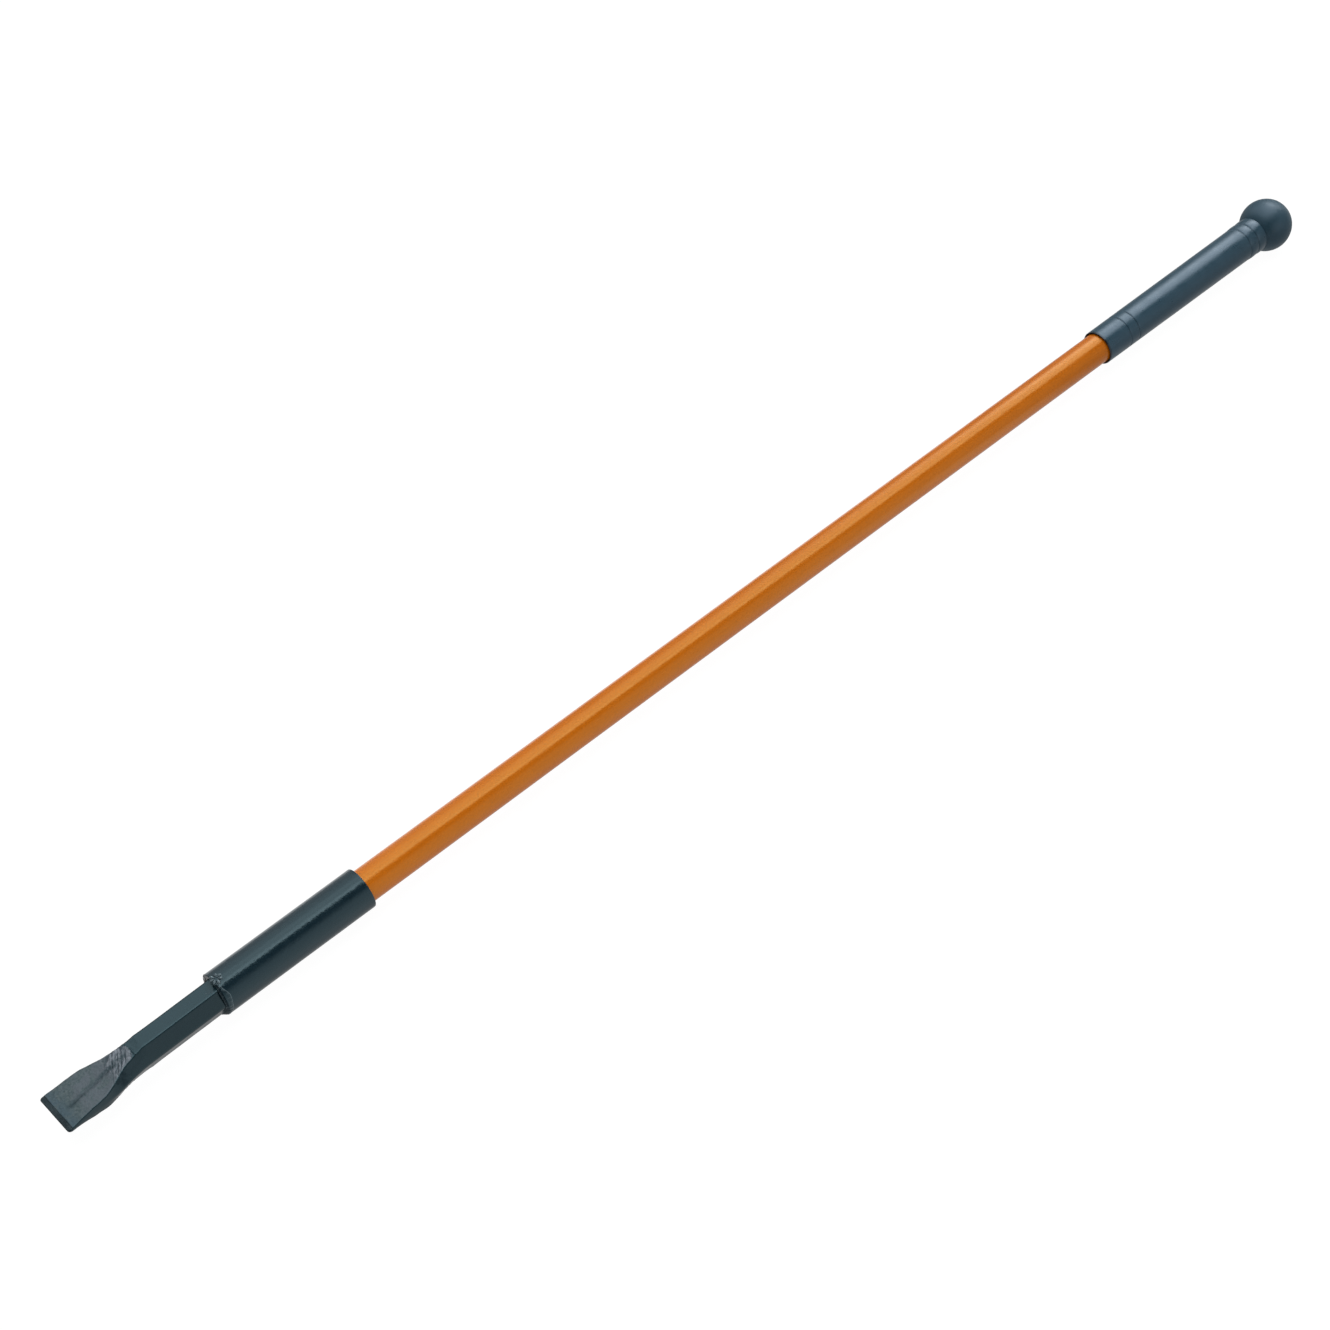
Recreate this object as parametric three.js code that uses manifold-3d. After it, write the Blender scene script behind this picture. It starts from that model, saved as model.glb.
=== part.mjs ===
// Insulated chisel-end digging bar, in millimetres.
//
// The bar lies along X: the cutting edge is at x = 0 and the far side of the ball is at
// x = overallLength. The axis of the whole bar is y = 0, z = 0, and +Z is square to the flat
// faces of the blade. From the edge towards the ball the pieces are the forged hexagonal
// chisel bar, the steel socket tube welded round its stub, the insulated shaft bonded into the
// other end of the tube, the moulded grip over the end of the shaft, and the ball.
import * as THREE from "three";
import { mergeVertices } from "three/addons/utils/BufferGeometryUtils.js";
import Module from "manifold-3d";

const wasm = await Module();
wasm.setup();

// ---- driving dimensions -------------------------------------------------------------------

const overallLength = 1500;

// Chisel bar: 27 mm hexagon steel, flattened and spread into a blade.
const hexAcrossFlats = 27;
const edgeThickness = 1.2;
const edgeCornerRadius = 1.6;
const bevelLength = 4.5;
const tipHalfWidth = 22.6;
const bladeHalfWidth = 20.4; // where the slim wedge behind the bevel ends
const bladeBulge = 0.8; // how far the forged sides stand out past the flat faces
const bevelHalfThickness = 1.8; // where the bevel meets the faces
const wedgeHalfThickness = 4.9;
const wedgeEnd = 26;
const narrowingStart = 28; // the blade narrows towards the hexagon from here
const forgedLength = 84; // the plain hexagon starts here
const thickeningPower = 1.6; // how late the blade thickens between the wedge and the hexagon

// Socket tube: 1 1/2 inch steel tube, 1/8 inch wall.
const tubeRadius = 19.05;
const tubeBoreRadius = 15.8;
const tubeLength = 150;
const tubeStart = 156.5;
const tubeEdgeRadius = 0.8;
const hexInsertion = 60;
const shaftInsertion = 85;

// Welds between the chisel bar and the tube.
const weldLength = 4.6;
const weldRootRadius = 12;
const weldToeRadius = 13.6; // at the end that lies on the hexagon
const weldShoulderRadius = 15.4;
const weldCrownRadius = 17.2;
const weldTopRadius = 18.2; // against the end of the tube
const weldGap = 0.3;
const plugOffset = 5.2; // from the end of the tube to the middle of the plug weld
const plugTurn = THREE.MathUtils.degToRad(7.5); // round the tube from +Z towards -Y
const plugHoleRadius = 3.5;
const plugRadius = 3.2;
const plugCapRadius = 4.8;
const plugCapHeight = 0.9;

// Insulated shaft: glass-fibre rod, contrasting inner layer, orange outer layer.
const shaftRadius = 15.25;
const warningLayerRadius = 13.5;
const coreRadius = 12.5;
const layerGap = 0.05; // keeps neighbouring layers from sharing a surface

// Grip and ball.
const gripStart = 1218;
const gripLipRadius = 17.5;
const gripEndRadius = 18.15;
const gripBoreRadius = 15.8;
const gripLipRound = 1;
const gripMouthRadius = 16.3;
const gripMouthDepth = 3;
const grooveStations = [1249, 1261, 1430, 1441.5];
const grooveHalfWidth = 0.9;
const grooveDepth = 0.35;
const ballRadius = 26.5;
const ballSeatRadius = 17.4; // radius of the flat where the ball meets the grip
const ballBoreRadius = 13;
const ballBoreDepth = 32;
const seatGap = 0.3;

const turnedSegments = 48;
const arcSteps = 4;

// ---- derived stations along the bar -------------------------------------------------------

const hexHalfFlat = hexAcrossFlats / 2;
const hexSide = hexAcrossFlats / Math.sqrt(3);
const hexEnd = tubeStart + hexInsertion;
const weldEnd = tubeStart - weldGap;
const weldStart = weldEnd - weldLength;
const tubeEnd = tubeStart + tubeLength;
const shaftStart = tubeEnd - shaftInsertion;
const ballCentre = overallLength - ballRadius;
const ballSeat = ballCentre - Math.sqrt(ballRadius ** 2 - ballSeatRadius ** 2);
const gripEnd = ballSeat - seatGap;
const boreFloor = ballSeat + ballBoreDepth;
const coreEnd = boreFloor - seatGap;

// ---- materials ----------------------------------------------------------------------------

function material(color, roughness, metalness = 0) {
  return new THREE.MeshStandardMaterial({ color, roughness, metalness });
}

const slatePaint = material("#3d515a", 0.45, 0.2);
const paintedWeld = material("#33454d", 0.6, 0.2);
const orangePlastic = material("#c8752a", 0.38);
const warningPlastic = material("#e9dd9b", 0.6);
const glassFibre = material("#cfc9a4", 0.5);
const epoxy = material("#b7a778", 0.5);
const gripPlastic = material("#4a6170", 0.5);
const ballPlastic = material("#35505a", 0.62);

// ---- shape helpers ------------------------------------------------------------------------

// A body of revolution about the bar's axis. The profile is a list of [x, radius], run so that
// the outer surface is followed towards +X.
function turned(profile) {
  const points = profile.map(([x, radius]) => new THREE.Vector2(radius, x));
  return new THREE.LatheGeometry(points, turnedSegments).rotateZ(-Math.PI / 2);
}

// A plain sleeve between two stations.
function sleeve(start, end, innerRadius, outerRadius) {
  return turned([
    [start, innerRadius],
    [start, outerRadius],
    [end, outerRadius],
    [end, innerRadius],
    [start, innerRadius],
  ]);
}

// Points of an arc about [x, radius], with angles measured from +X towards larger radius.
function arc(x, radius, size, fromDegrees, toDegrees, steps = arcSteps) {
  return Array.from({ length: steps + 1 }, (_, i) => {
    const degrees = fromDegrees + ((toDegrees - fromDegrees) * i) / steps;
    const angle = THREE.MathUtils.degToRad(degrees);
    return [x + size * Math.cos(angle), radius + size * Math.sin(angle)];
  });
}

function solidFrom(geometry) {
  const bare = geometry.clone();
  bare.deleteAttribute("normal");
  bare.deleteAttribute("uv");
  const merged = mergeVertices(bare);
  return new wasm.Manifold(
    new wasm.Mesh({
      numProp: 3,
      vertProperties: merged.attributes.position.array,
      triVerts: new Uint32Array(merged.index.array),
    }),
  );
}

function geometryFrom(solid) {
  const mesh = solid.getMesh();
  const geometry = new THREE.BufferGeometry();
  geometry.setAttribute("position", new THREE.BufferAttribute(mesh.vertProperties, 3));
  geometry.setIndex(new THREE.BufferAttribute(mesh.triVerts, 1));
  const flat = geometry.toNonIndexed();
  flat.computeVertexNormals();
  return flat;
}

// ---- chisel bar ---------------------------------------------------------------------------

// Half thickness at station x: a short bevel, a slim wedge, then up to the hexagon.
function bladeHalfThickness(x) {
  if (x <= bevelLength) {
    return THREE.MathUtils.lerp(edgeThickness / 2, bevelHalfThickness, x / bevelLength);
  }
  if (x <= wedgeEnd) {
    const along = (x - bevelLength) / (wedgeEnd - bevelLength);
    return THREE.MathUtils.lerp(bevelHalfThickness, wedgeHalfThickness, along);
  }
  const along = Math.min(1, (x - wedgeEnd) / (forgedLength - wedgeEnd));
  return THREE.MathUtils.lerp(wedgeHalfThickness, hexHalfFlat, along ** thickeningPower);
}

// Half width of the flat face, half width at mid thickness, and half thickness at station x.
function bladeSection(x) {
  const width = THREE.MathUtils.lerp(tipHalfWidth, bladeHalfWidth, Math.min(1, x / wedgeEnd));
  const narrowing = THREE.MathUtils.smoothstep(x, narrowingStart, forgedLength);
  const face = THREE.MathUtils.lerp(width, hexSide / 2, narrowing);
  const middle = THREE.MathUtils.lerp(width + bladeBulge, hexSide, narrowing);
  // The two corners of the cutting edge are rounded off.
  const short = Math.max(0, edgeCornerRadius - x);
  const trimmed = edgeCornerRadius - Math.sqrt(edgeCornerRadius ** 2 - short ** 2);
  return { face: face - trimmed, middle: middle - trimmed, thickness: bladeHalfThickness(x) };
}

// Stations of the chisel bar. The one at weldStart ends the flats that stand clear of the weld.
function chiselStations() {
  const edge = [0, 0.3, 0.8, edgeCornerRadius, bevelLength, wedgeEnd];
  const forgedSteps = 16;
  const forged = Array.from(
    { length: forgedSteps },
    (_, i) => wedgeEnd + ((forgedLength - wedgeEnd) * (i + 1)) / forgedSteps,
  );
  return [...edge, ...forged, weldStart, hexEnd];
}

// A hexagon with two of its flats level and a corner on each side.
function hexagon(cornerRadius) {
  const corners = Array.from({ length: 6 }, (_, i) => {
    const angle = (Math.PI / 3) * i;
    return new THREE.Vector2(cornerRadius * Math.cos(angle), cornerRadius * Math.sin(angle));
  });
  return new THREE.Shape(corners);
}

// A hexagon is drawn out one step per station, then each step is forged to its section.
function chiselBar() {
  const stations = chiselStations();
  const steps = stations.length - 1;
  const drawn = { steps, depth: steps, bevelEnabled: false };
  const geometry = new THREE.ExtrudeGeometry(hexagon(1), drawn);
  const position = geometry.attributes.position;
  for (let i = 0; i < position.count; i++) {
    const across = position.getX(i);
    const up = position.getY(i);
    const x = stations[Math.round(position.getZ(i))];
    const section = bladeSection(x);
    const isSideCorner = Math.abs(up) < 0.1;
    const halfWidth = isSideCorner ? section.middle : section.face;
    const height = isSideCorner ? 0 : Math.sign(up) * section.thickness;
    position.setXYZ(i, x, Math.sign(across) * halfWidth, height);
  }
  return geometry;
}

// ---- socket tube and welds ----------------------------------------------------------------

// A plain hexagonal bar along the axis, with its flats level.
function hexPrism(start, end, acrossFlats) {
  const shape = hexagon(acrossFlats / Math.sqrt(3));
  const geometry = new THREE.ExtrudeGeometry(shape, { depth: end - start, bevelEnabled: false });
  return geometry.rotateX(Math.PI / 2).rotateZ(Math.PI / 2).translate(start, 0, 0);
}

// Turns a shape that was built upright on +Z at the origin to the place of the plug weld.
function atPlugWeld(geometry) {
  return geometry.rotateX(plugTurn).translate(tubeStart + plugOffset, 0, 0);
}

function uprightCylinder(radius, bottom, top) {
  const segments = 24;
  return new THREE.CylinderGeometry(radius, radius, top - bottom, segments)
    .rotateX(Math.PI / 2)
    .translate(0, 0, (bottom + top) / 2);
}

function socketTube() {
  const edgeCentre = tubeEnd - tubeEdgeRadius;
  const tube = turned([
    [tubeStart, tubeBoreRadius],
    [tubeStart, tubeRadius],
    ...arc(edgeCentre, tubeRadius - tubeEdgeRadius, tubeEdgeRadius, 90, 0),
    [tubeEnd, tubeBoreRadius],
    [tubeStart, tubeBoreRadius],
  ]);
  const hole = atPlugWeld(uprightCylinder(plugHoleRadius, hexHalfFlat, tubeRadius + 1));
  return geometryFrom(solidFrom(tube).subtract(solidFrom(hole)));
}

// Fillet weld all round: a rounded ring with the hexagon cut out of its middle.
function socketWeld() {
  const point = (share, radius) => [weldEnd - share * weldLength, radius];
  const ring = turned([
    point(0, weldRootRadius),
    point(1, weldRootRadius),
    point(1, weldToeRadius),
    point(0.86, weldShoulderRadius),
    point(0.45, weldCrownRadius),
    point(0, weldTopRadius),
    point(0, weldRootRadius),
  ]);
  const bar = hexPrism(weldStart - 1, weldEnd + 1, hexAcrossFlats + 2 * layerGap);
  return geometryFrom(solidFrom(ring).subtract(solidFrom(bar)));
}

// Plug weld: a stem that fills the hole in the tube, under a low cap that lies on the tube.
function plugWeld() {
  const capTop = tubeRadius + plugCapHeight;
  const capBottom = tubeRadius - 1;
  const rim = capTop - plugCapHeight * 0.55;
  const profile = [
    [0, capBottom],
    [plugCapRadius, capBottom],
    [plugCapRadius, rim],
    [plugCapRadius * 0.8, capTop - plugCapHeight * 0.15],
    [plugCapRadius * 0.5, capTop],
    [0, capTop],
  ].map(([radius, height]) => new THREE.Vector2(radius, height));
  const cap = new THREE.LatheGeometry(profile, 24).rotateX(Math.PI / 2);
  const stemFoot = hexHalfFlat + weldGap + plugRadius * Math.sin(plugTurn);
  const stem = uprightCylinder(plugRadius, stemFoot / Math.cos(plugTurn), capTop - plugCapHeight / 2);
  const clearOfTube = turned([
    [tubeStart - tubeLength, 0],
    [tubeStart - tubeLength, tubeRadius + layerGap],
    [tubeEnd, tubeRadius + layerGap],
    [tubeEnd, 0],
  ]);
  const restingCap = solidFrom(atPlugWeld(cap)).subtract(solidFrom(clearOfTube));
  return geometryFrom(restingCap.add(solidFrom(atPlugWeld(stem))));
}

// ---- insulated shaft ----------------------------------------------------------------------

function coreRod() {
  const chamfer = 1;
  return turned([
    [shaftStart, 0],
    [shaftStart, coreRadius],
    [coreEnd - chamfer, coreRadius],
    [coreEnd, coreRadius - chamfer],
    [coreEnd, 0],
  ]);
}

function warningLayer() {
  return sleeve(shaftStart, gripEnd, coreRadius + layerGap, warningLayerRadius);
}

function outerSleeve() {
  return sleeve(shaftStart, gripEnd, warningLayerRadius + layerGap, shaftRadius);
}

function bondLayer(start, end, insideOf, around) {
  return sleeve(start, end, around + layerGap, insideOf - layerGap);
}

// ---- grip and ball ------------------------------------------------------------------------

function gripRadiusAt(x) {
  return THREE.MathUtils.mapLinear(x, gripStart, gripEnd, gripLipRadius, gripEndRadius);
}

function groove(x) {
  const radius = gripRadiusAt(x);
  return [
    [x - grooveHalfWidth, radius],
    [x - grooveHalfWidth / 2, radius - grooveDepth],
    [x + grooveHalfWidth / 2, radius - grooveDepth],
    [x + grooveHalfWidth, radius],
  ];
}

function gripSleeve() {
  const mouthEnd = gripStart + gripMouthDepth;
  const lip = arc(gripStart + gripLipRound, gripLipRadius - gripLipRound, gripLipRound, 180, 90);
  return turned([
    [mouthEnd, gripBoreRadius],
    [gripStart, gripMouthRadius],
    ...lip,
    ...grooveStations.flatMap(groove),
    [gripEnd, gripEndRadius],
    [gripEnd, gripBoreRadius],
    [mouthEnd, gripBoreRadius],
  ]);
}

function ballKnob() {
  const seatAngle = 180 - THREE.MathUtils.radToDeg(Math.asin(ballSeatRadius / ballRadius));
  return turned([
    [boreFloor, 0],
    [boreFloor, ballBoreRadius],
    [ballSeat, ballBoreRadius],
    ...arc(ballCentre, 0, ballRadius, seatAngle, 0, 18),
  ]);
}

// ---- assembly -----------------------------------------------------------------------------

const bar = new THREE.Group();

function addPiece(name, geometry, finish) {
  const mesh = new THREE.Mesh(geometry, finish);
  mesh.name = name;
  bar.add(mesh);
}

const gripBondStart = gripStart + 2 * gripMouthDepth;
const knobBondEnd = coreEnd - 2;

addPiece("chisel_bar", chiselBar(), slatePaint);
addPiece("socket_tube", socketTube(), slatePaint);
addPiece("socket_weld", socketWeld(), paintedWeld);
addPiece("plug_weld", plugWeld(), paintedWeld);
addPiece("core_rod", coreRod(), glassFibre);
addPiece("warning_layer", warningLayer(), warningPlastic);
addPiece("outer_sleeve", outerSleeve(), orangePlastic);
addPiece("socket_adhesive", bondLayer(shaftStart, tubeEnd - 1, tubeBoreRadius, shaftRadius), epoxy);
addPiece("grip_sleeve", gripSleeve(), gripPlastic);
addPiece("grip_adhesive", bondLayer(gripBondStart, gripEnd, gripBoreRadius, shaftRadius), epoxy);
addPiece("ball_knob", ballKnob(), ballPlastic);
addPiece("knob_adhesive", bondLayer(ballSeat, knobBondEnd, ballBoreRadius, coreRadius), epoxy);

export default bar;
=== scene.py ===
import math

import bmesh
import bpy
import numpy as np
from mathutils import Matrix, Vector, noise


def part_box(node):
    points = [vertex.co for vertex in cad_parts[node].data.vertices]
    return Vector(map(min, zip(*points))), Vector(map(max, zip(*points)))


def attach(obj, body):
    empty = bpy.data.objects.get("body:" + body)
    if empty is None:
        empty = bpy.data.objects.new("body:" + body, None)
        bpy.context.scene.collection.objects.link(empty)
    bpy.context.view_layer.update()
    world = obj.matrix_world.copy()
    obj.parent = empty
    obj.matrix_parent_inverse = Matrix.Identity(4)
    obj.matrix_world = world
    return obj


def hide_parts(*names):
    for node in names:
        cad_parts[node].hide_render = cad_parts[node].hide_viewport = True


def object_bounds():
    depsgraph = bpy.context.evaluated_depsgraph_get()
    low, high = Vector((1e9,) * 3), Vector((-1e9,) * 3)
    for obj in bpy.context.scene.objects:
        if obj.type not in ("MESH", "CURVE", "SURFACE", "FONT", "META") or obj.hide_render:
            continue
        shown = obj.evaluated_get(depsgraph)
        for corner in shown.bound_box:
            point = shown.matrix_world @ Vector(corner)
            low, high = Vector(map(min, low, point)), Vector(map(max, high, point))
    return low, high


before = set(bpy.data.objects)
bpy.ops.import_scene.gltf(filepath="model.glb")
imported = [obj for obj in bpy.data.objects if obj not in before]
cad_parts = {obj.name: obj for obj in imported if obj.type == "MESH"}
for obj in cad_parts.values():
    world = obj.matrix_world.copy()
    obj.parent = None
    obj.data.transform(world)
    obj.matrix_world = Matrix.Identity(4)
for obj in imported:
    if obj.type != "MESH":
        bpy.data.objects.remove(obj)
CAD_LOW, CAD_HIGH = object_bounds()

MM = 0.001
FULL_TURN = 2 * math.pi


# ---- sizes from the frame, in millimetres ----

def reach(node):
    """First station, last station and radius or half height of a CAD node."""
    low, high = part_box(node)
    return low.x / MM, high.x / MM, high.z / MM


_, STUB_END, HEX_HALF_FLAT = reach("chisel_bar")
TUBE_START, TUBE_END, TUBE_RADIUS = reach("socket_tube")
PLUG_START, PLUG_END, PLUG_TOP = reach("plug_weld")
SHAFT_START, SHAFT_END, SHAFT_RADIUS = reach("outer_sleeve")
LAYER_RADIUS = reach("warning_layer")[2]
GRIP_START, GRIP_END, GRIP_RADIUS = reach("grip_sleeve")
BALL_SEAT, BALL_END, BALL_RADIUS = reach("ball_knob")
BOND_RADIUS = reach("socket_adhesive")[2]
KNOB_BOND_RADIUS = reach("knob_adhesive")[2]
CORE_END = reach("core_rod")[1]

LAYER_GAP = 0.05  # between neighbouring layers
SEAT_GAP = 0.3  # between the rod's end and the floor of the ball's bore
HEX_SIDE = 2 * HEX_HALF_FLAT / math.sqrt(3)
BORE_RADIUS = BOND_RADIUS + LAYER_GAP
BALL_CENTRE = BALL_END - BALL_RADIUS

# Sizes of the blade that the CAD boxes do not give.
BEVEL_LENGTH = 4.5
BEVEL_HALF_EDGE = 0.6
TIP_HALF_WIDTH = 22.6
SIDE_BULGE = 0.8  # how far the forged sides stand out past the flat faces
BLADE_HALF_WIDTH = 20.4  # where the slim wedge behind the bevel ends
BEVEL_HALF_THICKNESS = 1.8  # where the bevel meets the faces
WEDGE_HALF_THICKNESS = 4.9
WEDGE_END = 26.0
NARROWING_START = 28.0
FORGED_LENGTH = 84.0  # the plain hexagon starts here
THICKENING_POWER = 1.6  # how late the blade thickens between the wedge and the hexagon
CORNER_ROUNDING = 1.4

# Hammering left the neck with narrower flat faces and a little thicker than the plain shape.
NECK_NARROWER = 1.6
NARROWER_FROM, NARROWER_TO = 36.0, 80.0
NECK_THICKER = 1.2
THICKER_FROM, THICKER_TO = 16.0, 100.0


# ---- small maths helpers ----

def ease(value, low, high):
    """0 before low, 1 after high and a smooth step between them."""
    t = np.clip((value - low) / (high - low), 0, 1)
    return t * t * (3 - 2 * t)


def blend(a, b, share):
    return a + (b - a) * share


def noise_at(points, size, seed):
    """Smooth noise from -1 to 1 at points in mm, with features of about the given size."""
    offset = Vector((seed * 7.31, seed * 3.17, seed * 5.83))
    flat = points.reshape(-1, 3) / size
    values = [noise.noise(Vector(p) + offset) for p in flat]
    return np.array(values).reshape(points.shape[:-1])


def layered_noise(points, layers):
    """Noise summed over layers of (height, size, seed, stretch along X)."""
    relief = 0
    for height, size, seed, stretch in layers:
        relief += height * noise_at(points * np.array([stretch, 1.0, 1.0]), size, seed)
    return relief


def bump_at(distance, width):
    """A smooth hump, 1 high at distance 0."""
    return np.exp(-((distance / width) ** 2))


def hump_between(value, start, end):
    """A smooth hump, 1 high halfway between start and end and 0 outside them."""
    share = np.clip((value - start) / (end - start), 0, 1)
    return np.sin(math.pi * share) ** 2


def around_interpolated(angle, stations):
    """Value at each angle, joined smoothly round the bar through (degrees, value) pairs."""
    degrees = np.degrees(angle) % 360
    keys, values = np.array(stations, float).T
    keys = np.concatenate([keys - 360, keys, keys + 360])
    values = np.tile(values, 3)
    place = np.searchsorted(keys, degrees, side="right") - 1
    share = (degrees - keys[place]) / (keys[place + 1] - keys[place])
    return blend(values[place], values[place + 1], share * share * (3 - 2 * share))


# ---- mesh helpers ----

MERGE_DISTANCE = 1e-7  # metres
SMALLEST_EDGE = 1e-8  # metres


def put_in_scene(name, data):
    """A new object in the scene that holds the mesh or camera given."""
    made = bpy.data.objects.new(name, data)
    bpy.context.scene.collection.objects.link(made)
    return made


def piece_from_grid(name, rings, loop_along=False, sharp_degrees=35.0):
    """A closed skin over rings of points in mm, either capped or looped along as well."""
    count, around = rings.shape[:2]
    mesh = bpy.data.meshes.new(name)
    steps = count if loop_along else count - 1
    faces = []
    for i in range(steps):
        near = i * around
        far = ((i + 1) % count) * around
        for j in range(around):
            k = (j + 1) % around
            faces.append((near + j, near + k, far + k, far + j))
    if not loop_along:
        faces.append(tuple(range(around)))
        faces.append(tuple(range((count - 1) * around, count * around)))
    mesh.from_pydata((rings.reshape(-1, 3) * MM).tolist(), [], faces)
    tidy = bmesh.new()
    tidy.from_mesh(mesh)
    bmesh.ops.remove_doubles(tidy, verts=tidy.verts, dist=MERGE_DISTANCE)
    bmesh.ops.dissolve_degenerate(tidy, edges=tidy.edges, dist=SMALLEST_EDGE)
    bmesh.ops.recalc_face_normals(tidy, faces=tidy.faces)
    tidy.to_mesh(mesh)
    tidy.free()
    mesh.polygons.foreach_set("use_smooth", [True] * len(mesh.polygons))
    mesh.set_sharp_from_angle(angle=math.radians(sharp_degrees))
    return put_in_scene(name, mesh)


def grid_normals(rings):
    """Outward normals of a skin of rings that run round the X axis."""
    along = np.gradient(rings, axis=0)
    around = np.roll(rings, -1, axis=1) - np.roll(rings, 1, axis=1)
    normal = np.cross(along, around)
    normal /= np.maximum(np.linalg.norm(normal, axis=-1, keepdims=True), 1e-9)
    outward = rings * np.array([0.0, 1.0, 1.0])
    if (normal * outward).sum() < 0:
        normal = -normal
    return normal


def turned_rings(profile, around):
    """Rings round the X axis for (station, radius) pairs. The angle runs from +Z towards -Y."""
    profile = np.array(profile, float)
    angle = np.arange(around) / around * FULL_TURN
    x = np.repeat(profile[:, :1], around, axis=1)
    y = -profile[:, 1:] * np.sin(angle)
    z = profile[:, 1:] * np.cos(angle)
    return np.stack([x, y, z], axis=-1)


def angle_of(points):
    """Angle round the bar from +Z towards -Y."""
    return np.arctan2(-points[..., 1], points[..., 2])


def from_axis(points):
    return np.hypot(points[..., 1], points[..., 2])


def swell(rings, amount):
    """Moves each point away from the X axis by its own amount."""
    factor = 1 + amount / np.maximum(from_axis(rings), 1e-6)
    moved = rings.copy()
    moved[..., 1] *= factor
    moved[..., 2] *= factor
    return moved


def evenly(start, end, step):
    """Stations from start to end, about step apart."""
    return list(np.linspace(start, end, max(2, round((end - start) / step) + 1)))


def arc(x, radius, size, start_degrees, end_degrees, steps):
    """(station, radius) points of an arc. Angles run from +X towards larger radius."""
    angles = np.radians(np.linspace(start_degrees, end_degrees, steps + 1))
    return [(x + size * math.cos(a), radius + size * math.sin(a)) for a in angles]


def finish_piece(piece, material, slot, *nodes):
    """Gives a piece its material and its body, and hides the CAD nodes that it stands for."""
    piece.data.materials.append(material)
    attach(piece, "root")
    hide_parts(*nodes)


# ---- chisel bar ----

# Mesh steps round a section: along each broad face, each slanting face and each corner.
FLAT_STEPS = 46
SLANT_STEPS = 12
ROUND_STEPS = 4
CORNER_LIMIT = 0.4  # of the shorter side beside a corner
TIP_STATIONS = [0, 0.1, 0.22, 0.34]
FORGED_STEP, PLAIN_STEP, HIDDEN_STEP = 0.55, 1.3, 10
TIP_EDGE_ROUND = 0.45
TIP_FLAT_SHARE = 0.45  # of the edge's thickness that stays flat at the very tip
TIP_CORNER_ROUND = {1: 2.4, -1: 3.4}  # on the +Y side and on the -Y side


def blade_half_thickness(x):
    """A short bevel, a slim wedge behind it, then a late swelling up to the hexagon."""
    if x <= BEVEL_LENGTH:
        return blend(BEVEL_HALF_EDGE, BEVEL_HALF_THICKNESS, x / BEVEL_LENGTH)
    if x <= WEDGE_END:
        share = (x - BEVEL_LENGTH) / (WEDGE_END - BEVEL_LENGTH)
        return blend(BEVEL_HALF_THICKNESS, WEDGE_HALF_THICKNESS, share)
    share = min(1, (x - WEDGE_END) / (FORGED_LENGTH - WEDGE_END))
    return blend(WEDGE_HALF_THICKNESS, HEX_HALF_FLAT, share ** THICKENING_POWER)


def blade_corners(x):
    """The six corners of the section at station x, as (y, z), from the +Y side corner on."""
    width = blend(TIP_HALF_WIDTH, BLADE_HALF_WIDTH, min(1, x / WEDGE_END))
    narrowing = ease(x, NARROWING_START, FORGED_LENGTH)
    face = blend(width, HEX_SIDE / 2, narrowing)
    middle = blend(width + SIDE_BULGE, HEX_SIDE, narrowing)
    half = blade_half_thickness(x)
    face -= NECK_NARROWER * hump_between(x, NARROWER_FROM, NARROWER_TO)
    half += NECK_THICKER * hump_between(x, THICKER_FROM, THICKER_TO)
    if x < TIP_EDGE_ROUND:
        rounding = math.sqrt(1 - (1 - x / TIP_EDGE_ROUND) ** 2)
        half *= blend(TIP_FLAT_SHARE, 1, rounding)
    trim = {}
    for side, size in TIP_CORNER_ROUND.items():
        short = max(0, size - x)
        trim[side] = size - math.sqrt(size ** 2 - short ** 2)
    right, left = trim[1], trim[-1]
    return [
        (middle - right, 0),
        (face - right, half),
        (left - face, half),
        (left - middle, 0),
        (left - face, -half),
        (face - right, -half),
    ]


def rounded_section(corners, rounding):
    """Points of a six-cornered section with its corners rounded off."""
    corners = [Vector(c) for c in corners]
    entry, leave = [], []
    for i, corner in enumerate(corners):
        before = corners[i - 1] - corner
        after = corners[(i + 1) % 6] - corner
        cut = min(rounding, CORNER_LIMIT * before.length, CORNER_LIMIT * after.length)
        entry.append(corner + before.normalized() * cut)
        leave.append(corner + after.normalized() * cut)
    points = []
    for i, corner in enumerate(corners):
        for k in range(ROUND_STEPS):
            t = k / ROUND_STEPS
            points.append(entry[i] * (1 - t) ** 2 + corner * 2 * t * (1 - t) + leave[i] * t * t)
        steps = FLAT_STEPS if i in (1, 4) else SLANT_STEPS
        goal = entry[(i + 1) % 6]
        points += [leave[i].lerp(goal, k / steps) for k in range(steps)]
    return points


def chisel_stations():
    """Stations along the bar, closest on the forged part and widest inside the tube."""
    forged = evenly(0.8, FORGED_LENGTH + 3, FORGED_STEP)
    plain = evenly(FORGED_LENGTH + 4.2, TUBE_START + 2, PLAIN_STEP)
    hidden = evenly(TUBE_START + 6, STUB_END, HIDDEN_STEP)
    return TIP_STATIONS + [TIP_EDGE_ROUND] + forged + plain + hidden


# The bar was welded in a little off the tube's axis, and the blade was forged lopsided.
SHANK_OFFSET = 1.3  # at the weld
SHANK_SLANT = 0.014  # more for each mm from the weld towards the edge
SLANT_END = 70.0
LOPSIDED = 1.1
LOPSIDED_STATION = 46.0
LOPSIDED_LENGTH = 17.0


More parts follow.
